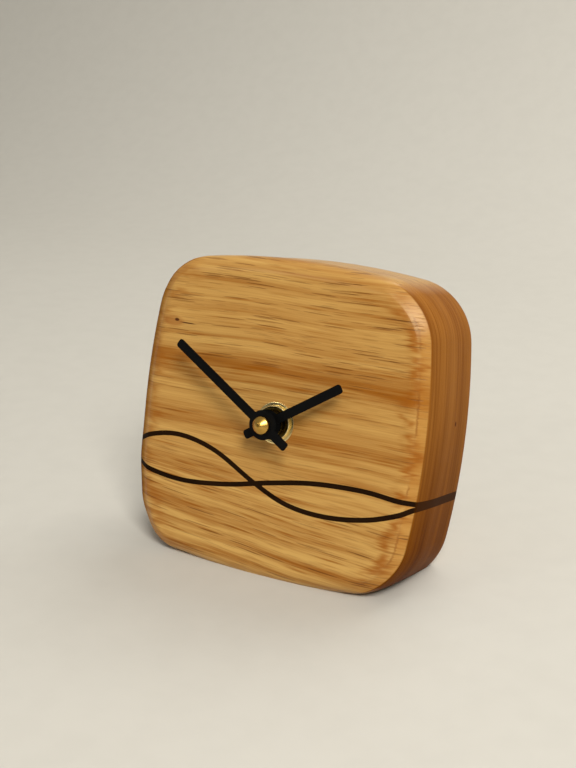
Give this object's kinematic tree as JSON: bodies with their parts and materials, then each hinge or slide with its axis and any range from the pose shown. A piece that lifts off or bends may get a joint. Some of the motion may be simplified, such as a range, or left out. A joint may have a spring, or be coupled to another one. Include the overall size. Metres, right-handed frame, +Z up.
{
  "type": "desk clock",
  "caption": "Leaning block of oak with wavy dark inlay, black baton hands and a geared quartz movement in a pocket at the back, with setting knob and battery.",
  "frame": {"origin": "middle of the level foot that the clock stands on", "axes": "+Z up, +X to the right seen from the front, +Y from the face towards the back"},
  "size_m": [0.1, 0.0562, 0.0952],
  "materials": {
    "oak": "satin oil, open grain",
    "dark_wood": "satin oil",
    "brass": "polished",
    "black_rubber": "matt",
    "black_paint": "satin black paint",
    "black_plastic": "fine moulded texture",
    "white_plastic": "moulded",
    "steel": "bare",
    "magnet": "sintered",
    "copper": "enamelled copper wire",
    "board": "printed board",
    "resin": "dome of resin",
    "battery_sleeve": "plain printed sleeve"
  },
  "bodies": {
    "root": {"oak_upper": "oak", "oak_lower": "oak", "oak_left_leaf": "oak", "oak_right_leaf": "oak", "inlay_long": "dark_wood", "inlay_left": "dark_wood", "inlay_right": "dark_wood", "brass_washer": "brass", "brass_nut": "brass", "threaded_bush": "brass", "rubber_washer": "black_rubber", "movement_plate": "black_plastic", "movement_frame": "black_plastic", "movement_cover": "black_plastic", "wheel_bridge": "white_plastic", "coil_bobbin": "white_plastic", "stator": "steel", "coil_core": "steel", "quartz_crystal": "steel", "positive_contact": "steel", "negative_contact": "steel", "coil_winding": "copper", "circuit_board": "board", "chip": "resin"},
    "minute": {"minute_hand": "black_paint", "cap_nut": "brass", "minute_pipe": "brass"},
    "hour": {"hour_hand": "black_paint", "hour_wheel": "white_plastic"},
    "motion": {"motion_wheel": "white_plastic"},
    "knob": {"setting_knob": "black_plastic"},
    "rotor": {"rotor_arbor": "steel", "rotor_magnet": "magnet"},
    "intermediate": {"intermediate_wheel": "white_plastic"},
    "seconds": {"seconds_wheel": "white_plastic"},
    "third": {"third_wheel": "white_plastic"},
    "centre": {"centre_wheel": "white_plastic"},
    "battery": {"battery": "battery_sleeve"}
  },
  "joints": [
    {"name": "minute_turn", "type": "hinge", "parent": "root", "child": "minute", "pos_m": [0, -0.00619, 0.04751], "axis": [0, 0.9703, -0.2419], "continuous": true},
    {"name": "hour_turn", "type": "hinge", "parent": "root", "child": "hour", "pos_m": [0, -0.00619, 0.04751], "axis": [0, 0.9703, -0.2419], "continuous": true},
    {"name": "motion_turn", "type": "hinge", "parent": "root", "child": "motion", "pos_m": [-0.009, -0.00619, 0.04751], "axis": [0, 0.9703, -0.2419], "continuous": true},
    {"name": "knob_turn", "type": "hinge", "parent": "root", "child": "knob", "pos_m": [-0.018, -0.00619, 0.04751], "axis": [0, 0.9703, -0.2419], "continuous": true},
    {"name": "rotor_turn", "type": "hinge", "parent": "root", "child": "rotor", "pos_m": [0, -0.00225, 0.06333], "axis": [0, 0.9703, -0.2419], "continuous": true},
    {"name": "intermediate_turn", "type": "hinge", "parent": "root", "child": "intermediate", "pos_m": [0, -0.00394, 0.05654], "axis": [0, 0.9703, -0.2419], "continuous": true},
    {"name": "seconds_turn", "type": "hinge", "parent": "root", "child": "seconds", "pos_m": [0, -0.00619, 0.04751], "axis": [0, 0.9703, -0.2419], "continuous": true},
    {"name": "third_turn", "type": "hinge", "parent": "root", "child": "third", "pos_m": [0.00846, -0.00544, 0.0505], "axis": [0, 0.9703, -0.2419], "continuous": true},
    {"name": "centre_turn", "type": "hinge", "parent": "root", "child": "centre", "pos_m": [0, -0.00619, 0.04751], "axis": [0, 0.9703, -0.2419], "continuous": true},
    {"name": "battery_slide", "type": "slide", "parent": "root", "child": "battery", "axis": [0, 0.9703, -0.2419], "range_m": [0, 0.02]}
  ],
  "couplings": [
    {"joint": "hour_turn", "follows": "minute_turn", "ratio": 0.083333},
    {"joint": "motion_turn", "follows": "minute_turn", "ratio": -0.33333},
    {"joint": "knob_turn", "follows": "minute_turn", "ratio": 1},
    {"joint": "intermediate_turn", "follows": "rotor_turn", "ratio": -0.16667},
    {"joint": "seconds_turn", "follows": "rotor_turn", "ratio": 0.033333},
    {"joint": "third_turn", "follows": "rotor_turn", "ratio": -0.0044444},
    {"joint": "centre_turn", "follows": "rotor_turn", "ratio": 0.00055556}
  ]
}
